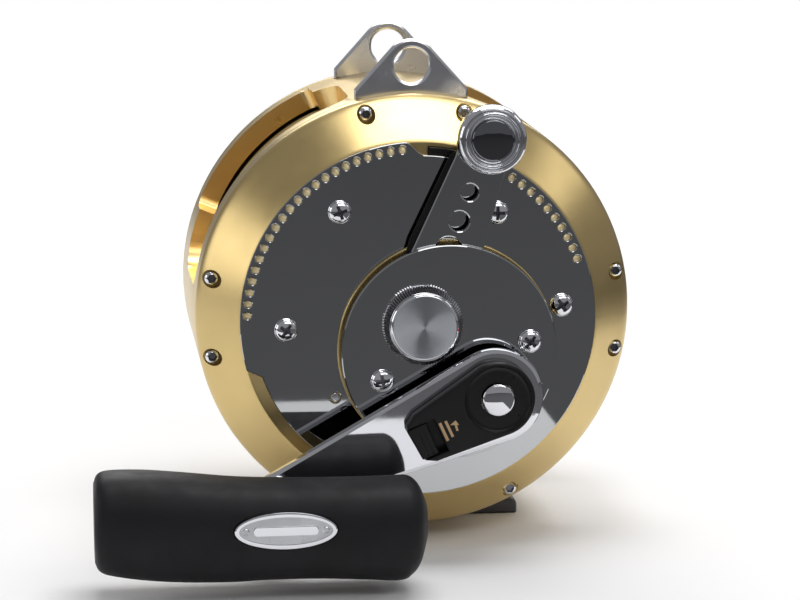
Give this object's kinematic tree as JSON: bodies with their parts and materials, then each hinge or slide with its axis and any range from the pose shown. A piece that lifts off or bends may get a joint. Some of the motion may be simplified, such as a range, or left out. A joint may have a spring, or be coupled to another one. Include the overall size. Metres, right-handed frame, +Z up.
{
  "type": "trolling reel",
  "caption": "Two-speed lever-drag trolling reel with a round frame, slotted drag quadrant, offset crank handle with a swivelling T-bar grip, and two harness lugs.",
  "frame": {"origin": "centre of the reel foot's flat underside, where it sits in a rod's reel seat", "axes": "+X forward, the way the line leaves; +Y to the left side plate, with the handle on the -Y side; +Z up, from the rod through the spool's axis to the harness lugs"},
  "size_m": [0.2064, 0.2068, 0.1915],
  "materials": {
    "gold": "satin gold anodised, turned",
    "dark_mirror": "polished dark chrome",
    "chrome": "polished chrome",
    "steel": "turned steel",
    "brass": "machined bronze",
    "black_plastic": "satin moulded",
    "grip_rubber": "matte, fine grain",
    "foot_metal": "dark grey anodised",
    "drag_lining": "carbon friction lining"
  },
  "bodies": {
    "reel_body": {"frame": "gold", "right_side_plate": "gold", "left_side_plate": "gold", "cover_spacer": "gold", "left_bearing_cap": "gold", "quadrant_plate": "dark_mirror", "cover_disc": "dark_mirror", "harness_lug_right": "chrome", "harness_lug_left": "chrome", "ring_screw_1": "chrome", "ring_screw_2": "chrome", "ring_screw_3": "chrome", "ring_screw_4": "chrome", "ring_screw_5": "chrome", "ring_screw_6": "chrome", "ring_screw_7": "chrome", "ring_screw_8": "chrome", "plate_screw_1": "chrome", "plate_screw_2": "chrome", "plate_screw_3": "chrome", "plate_screw_4": "chrome", "cover_screw_1": "chrome", "cover_screw_2": "chrome", "cover_screw_3": "chrome", "foot_screw_1": "chrome", "foot_screw_2": "chrome", "set_screw": "steel", "pinion_bearing": "steel", "dog_pin": "steel", "drive_bearing": "steel", "reel_foot": "foot_metal", "gear_case_cover": "foot_metal"},
    "spool_axle": {"spool_shaft": "steel", "drag_spring": "steel"},
    "spool_assembly": {"spool": "gold", "spool_bearing_left": "steel", "spool_bearing_right": "steel", "drag_disc": "drag_lining", "click_ratchet": "steel"},
    "pinion": {"pinion_cluster": "steel", "pressure_plate": "steel"},
    "handle": {"drive_shaft": "steel", "high_gear": "brass", "anti_reverse_ratchet": "steel", "handle_arm": "chrome", "shift_cap": "black_plastic", "grip_post": "chrome"},
    "low_gear_wheel": {"low_gear": "brass"},
    "shift_push_button": {"shift_button": "chrome"},
    "release_slide": {"release_tab": "black_plastic"},
    "grip_body": {"grip": "grip_rubber", "grip_badge": "chrome"},
    "lever": {"drag_lever": "dark_mirror", "drag_cam": "steel", "lever_knob": "chrome"},
    "preset": {"preset_knob": "steel"},
    "strike_button": {"strike_stop": "black_plastic"},
    "dog": {"anti_reverse_dog": "steel"},
    "clicker": {"click_switch": "black_plastic", "click_pawl": "steel"}
  },
  "joints": [
    {"name": "handle_turn", "type": "hinge", "parent": "reel_body", "child": "handle", "pos_m": [0.0259, -0.07, 0.063], "axis": [0, 1, 0], "continuous": true},
    {"name": "pinion_spin", "type": "hinge", "parent": "reel_body", "child": "pinion", "pos_m": [0, -0.05, 0.0885], "axis": [0, 1, 0], "continuous": true},
    {"name": "low_gear_spin", "type": "hinge", "parent": "reel_body", "child": "low_gear_wheel", "pos_m": [0.0259, -0.049, 0.063], "axis": [0, 1, 0], "continuous": true},
    {"name": "axle_slide", "type": "slide", "parent": "reel_body", "child": "spool_axle", "axis": [0, -1, 0], "range_m": [-0.0009, 0.0004]},
    {"name": "spool_spin", "type": "hinge", "parent": "spool_axle", "child": "spool_assembly", "pos_m": [0, 0, 0.0885], "axis": [0, 1, 0], "continuous": true},
    {"name": "preset_turn", "type": "hinge", "parent": "spool_axle", "child": "preset", "pos_m": [0, -0.079, 0.0885], "axis": [0, -1, 0], "range_deg": [-135, 135]},
    {"name": "drag_lever_swing", "type": "hinge", "parent": "reel_body", "child": "lever", "pos_m": [0, -0.071, 0.0885], "axis": [0, -1, 0], "range_deg": [-48, 107]},
    {"name": "grip_swivel", "type": "hinge", "parent": "handle", "child": "grip_body", "pos_m": [-0.05645, -0.11, 0.0277], "axis": [0, -1, 0], "continuous": true},
    {"name": "shift_button_push", "type": "slide", "parent": "handle", "child": "shift_push_button", "axis": [0, 1, 0], "range_m": [0, 0.0022], "stiffness_N_per_m": 400, "springref_m": -0.002},
    {"name": "release_tab_slide", "type": "slide", "parent": "handle", "child": "release_slide", "axis": [0.9191, 0, 0.3939], "range_m": [0, 0.003], "stiffness_N_per_m": 300, "springref_m": -0.002},
    {"name": "strike_stop_push", "type": "slide", "parent": "reel_body", "child": "strike_button", "axis": [0, 1, 0], "range_m": [0, 0.0012], "stiffness_N_per_m": 400, "springref_m": -0.002},
    {"name": "dog_lift", "type": "hinge", "parent": "reel_body", "child": "dog", "pos_m": [0.0419, -0.0574, 0.076], "axis": [0, -1, 0], "range_deg": [-12, 0]},
    {"name": "click_switch_slide", "type": "slide", "parent": "reel_body", "child": "clicker", "axis": [0, 0, -1], "range_m": [0, 0.005]}
  ],
  "couplings": [
    {"joint": "pinion_spin", "follows": "handle_turn", "ratio": -1.9412},
    {"joint": "spool_spin", "follows": "handle_turn", "ratio": -1.9412},
    {"joint": "low_gear_spin", "follows": "handle_turn", "ratio": 1.6536},
    {"joint": "axle_slide", "follows": "drag_lever_swing", "m_per_rad": -0.00045}
  ]
}
